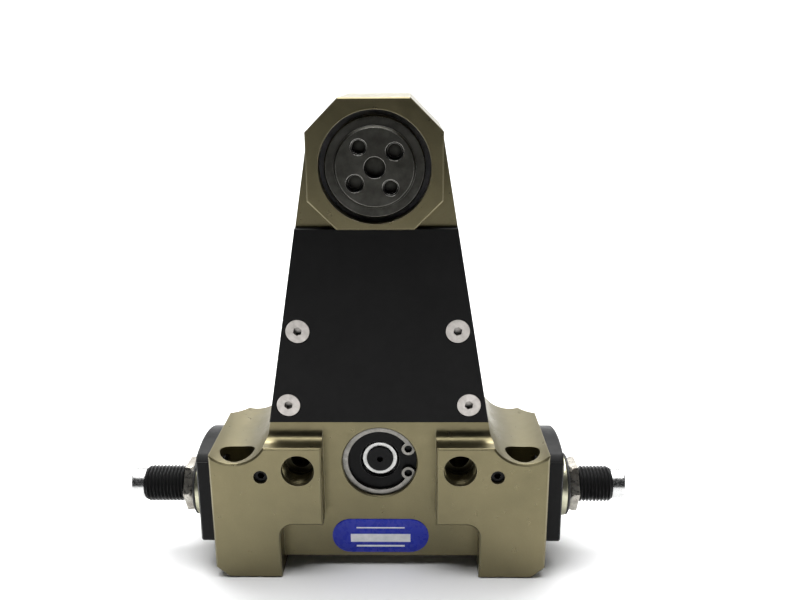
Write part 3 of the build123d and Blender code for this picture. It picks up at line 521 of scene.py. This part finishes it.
# ---- sealing rings -------------------------------------------------------------------
def make_sealing_ring(word):
    """A metal sealing ring whose outer end carries a black rubber lip."""
    node = "sealing_ring_" + word
    low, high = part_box(node)
    centre = middle(node)
    outer = (high.z - low.z) / 2
    inner = size("damper_body_" + word).z / 2 + 0.05 * MM
    start, end = (low.x, high.x) if word == "right" else (high.x, low.x)
    along = 1.0 if word == "right" else -1.0
    seam = end - along * 0.8 * MM
    cut = 0.15 * MM
    metal = [
        (start, inner),
        (start, outer - cut),
        (start + along * cut, outer),
        (seam - along * cut, outer),
        (seam, outer - cut),
        (seam, inner),
    ]
    lip = [
        (seam, inner),
        (seam, outer - 0.35 * MM),
        (seam + along * 0.25 * MM, outer - 0.15 * MM),
        (end - along * 0.2 * MM, outer - 0.2 * MM),
        (end, outer - 0.5 * MM),
        (end, inner),
    ]
    for name, profile, material, slot in (
        ("seal_metal_", metal, YELLOW, "sealing_ring"),
        ("seal_lip_", lip, RUBBER, "rubber"),
    ):
        rings = []
        for x, radius in profile + [profile[0]]:
            rings.append(circle_points(x, centre, radius, 72))
        mesh_maker = bmesh.new()
        rings_to_tube(mesh_maker, rings, False)
        bmesh.ops.remove_doubles(mesh_maker, verts=mesh_maker.verts, dist=1e-7)
        bmesh.ops.recalc_face_normals(mesh_maker, faces=mesh_maker.faces)
        piece = finish_mesh(name + word, mesh_maker, [material], "body", 40)
        if material is YELLOW:
            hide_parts(node)


def circle_points(x, centre, radius, steps):
    """Points of a circle about an axis along X."""
    points = []
    for step in range(steps):
        angle = 2 * pi * step / steps
        points.append((x, centre.y + radius * cos(angle), centre.z + radius * sin(angle)))
    return points


# ---- label ---------------------------------------------------------------------------
def stadium(width, height, steps=16):
    """Points of a stadium outline about the origin."""
    radius = height / 2
    points = []
    for side in (1, -1):
        for step in range(steps + 1):
            angle = -pi / 2 + pi * step / steps
            x = side * (width / 2 - radius + radius * cos(angle))
            points.append((x, side * radius * sin(angle)))
    return points


def flat_shape(name, outline, centre, y, thickness, material, dome=0.0):
    """A thin raised shape on the front, optionally with a domed rim."""
    layers = [
        (1.0, 0.0),
        (1.0, thickness * 0.55),
        (1.0 - dome * 0.5, thickness * 0.85),
        (1.0 - dome, thickness),
    ]
    mesh_maker = bmesh.new()
    rings = []
    for scale, out in layers:
        rings.append([(centre.x + x * scale, y - out, centre.z + z * scale) for x, z in outline])
    rings_to_tube(mesh_maker, rings, True)
    return finish_mesh(name, mesh_maker, [material], "body", 60)


def bar(width, height):
    """Points of a rectangle about the origin."""
    x = width / 2
    z = height / 2
    return [(-x, -z), (x, -z), (x, z), (-x, z)]


def make_label():
    """A plain blue plate with a generic pattern of white bars."""
    low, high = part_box("label_plate")
    centre = middle("label_plate")
    width = high.x - low.x
    height = high.z - low.z
    depth = high.y - low.y
    plate = flat_shape("label_face", stadium(width, height), centre, high.y, depth * 0.9, LABEL_BLUE, 0.03)
    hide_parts("label_plate")
    front = low.y + depth * 0.12
    # each bar's height above the middle, width and height, as shares of the plate
    rows = [(-0.06, 0.62, 0.24), (0.25, 0.5, 0.035), (-0.30, 0.5, 0.05)]
    for index, (up, wide, tall) in enumerate(rows):
        place = centre + Vector((0, 0, up * height))
        outline = bar(wide * width, tall * height)
        flat_shape(f"label_bar_{index}", outline, place, front, depth * 0.1, LABEL_WHITE)


# ---- the object -------------------------------------------------------------------------
def dress_nodes():
    """Materials for every CAD node, and broken edges on the small pieces that show."""
    dress(OLIVE, "housing")
    dress(BLACK, "cover_plate")
    bevelled("cover_screws", STAINLESS, STAINLESS, 0.05)
    dress(GUNMETAL, "output_flange")
    bevelled("circlip", CLIP_STEEL, CLIP_STEEL, 0.08)
    bevelled("bearing_holder", BLACK, BLACK_EDGE_WEAR_AND_HIGHLIGHT, 0.06)
    for word in ("left", "right"):
        bevelled("end_cap_" + word, BLACK, BLACK_EDGE_WEAR_AND_HIGHLIGHT, 0.12)
        bevelled("lock_nut_" + word, NICKEL, NICKEL, 0.10)
        make_sealing_ring(word)
        bevelled("damper_tip_" + word, BRIGHT, BRIGHT, 0.06)
        bevelled("cap_screws_" + word, OXIDE, OXIDE, 0.05)
        threaded_rod("damper_body_" + word)
        port_thread(word)
        dress(PISTON, "piston_" + word)
        dress(BRIGHT, "damper_rod_" + word)
    bevelled("pinion_front_bearing_inner_ring", RING_STEEL, RING_STEEL, 0.10)
    bevelled("throttle_screws", OXIDE, OXIDE, 0.05)
    dress(RUBBER, "cap_orings", "piston_seals", "holder_oring", "pinion_bearing_seal")
    dress(FILLED, "guide_rings", "flange_seal")
    dress(OXIDE, "pinion_shaft")
    dress(DARK_STEEL, "rack", "output_gear", "idler_gear_lower", "idler_gear_upper")
    dress(BRONZE, "idler_bush_lower", "idler_bush_upper")
    dress(CLIP_STEEL, "idler_clips", "shaft_clip")
    dress(RING_STEEL, "output_spacer", "idler_washers", "idler_pin_lower", "idler_pin_upper")
    dress(BLACK, "rear_plug")
    for node in frame["nodes"]:
        is_bearing = "_bearing_" in node and node != "pinion_bearing_seal"
        if is_bearing and node != "pinion_front_bearing_inner_ring":
            dress(RING_STEEL, node)


# ---- studio -----------------------------------------------------------------------------
def make_stage():
    """A white sweep: floor running back into a curved wall."""
    half_width = 2.2
    front = -0.6
    bend_start = 0.9
    bend_radius = 0.7
    wall_top = 2.6
    floor_gap = 0.02 * MM
    profile = [(front, 0.0), (bend_start, 0.0)]
    for step in range(1, 13):
        angle = pi / 2 * step / 12
        profile.append((bend_start + bend_radius * sin(angle), bend_radius * (1 - cos(angle))))
    profile.append((bend_start + bend_radius, wall_top))
    mesh_maker = bmesh.new()
    rows = []
    for y, z in profile:
        left = mesh_maker.verts.new((-half_width, y, z - floor_gap))
        right = mesh_maker.verts.new((half_width, y, z - floor_gap))
        rows.append((left, right))
    for first, second in zip(rows, rows[1:]):
        mesh_maker.faces.new((first[0], first[1], second[1], second[0]))
    mesh = bpy.data.meshes.new("sweep")
    mesh_maker.to_mesh(mesh)
    mesh_maker.free()
    sweep = bpy.data.objects.new("sweep", mesh)
    bpy.context.scene.collection.objects.link(sweep)
    mesh.shade_smooth()
    m = Shader("white_sweep")
    m.colour(m.ramp(m.noise(0.002, detail=3), [(0.3, (0.86, 0.865, 0.87)), (0.7, (0.89, 0.89, 0.89))]))
    m.roughness(m.spread(m.noise(0.01, detail=2), 0.5, 0.62))
    m.out.inputs["Specular IOR Level"].default_value = 0.2
    mesh.materials.append(m.material)


def area_light(name, place, aim, width, height, watts):
    """A soft rectangular light that faces a point."""
    data = bpy.data.lights.new(name, "AREA")
    data.shape = "RECTANGLE"
    data.size = width
    data.size_y = height
    data.energy = watts
    light = bpy.data.objects.new(name, data)
    bpy.context.scene.collection.objects.link(light)
    light.location = place
    light.rotation_euler = (Vector(aim) - Vector(place)).to_track_quat("-Z", "Y").to_euler()


def make_lights():
    """A low soft box overhead, a second one over the floor behind, and a wash on the wall."""
    area_light("overhead", (-0.03, 0.06, 0.52), (-0.02, 0.0, 0.0), 0.5, 0.5, 5.4)
    area_light("rear_floor", (0.0, 0.75, 0.95), (0.0, 0.7, 0.0), 1.8, 0.8, 18.0)
    area_light("wall_wash", (0.0, 0.7, 1.5), (0.0, 1.6, 0.6), 2.4, 0.5, 24.0)
    world = bpy.data.worlds.new("soft_room")
    world.use_nodes = True
    background = world.node_tree.nodes["Background"]
    background.inputs["Color"].default_value = (0.93, 0.96, 1.0, 1.0)
    background.inputs["Strength"].default_value = 0.03
    bpy.context.scene.world = world


def make_camera():
    """A camera in front, a little above the head and looking down."""
    data = bpy.data.cameras.new("camera")
    data.sensor_width = 36.0
    data.lens = 36.0
    data.clip_start = 0.01
    camera = bpy.data.objects.new("camera", data)
    bpy.context.scene.collection.objects.link(camera)
    camera.location = (8.63 * MM, -193.64 * MM, 132.26 * MM)
    pitch = radians(16.02)
    yaw = radians(0.87)
    turn = Euler((pi / 2 - pitch, 0.0, yaw), "XYZ").to_matrix()
    roll = Matrix.Rotation(radians(-0.33), 3, "Z")
    camera.rotation_euler = (turn @ roll).to_euler()
    bpy.context.scene.camera = camera
    bpy.context.scene.view_settings.view_transform = "Standard"


dress_nodes()
make_label()
make_stage()
make_lights()
make_camera()
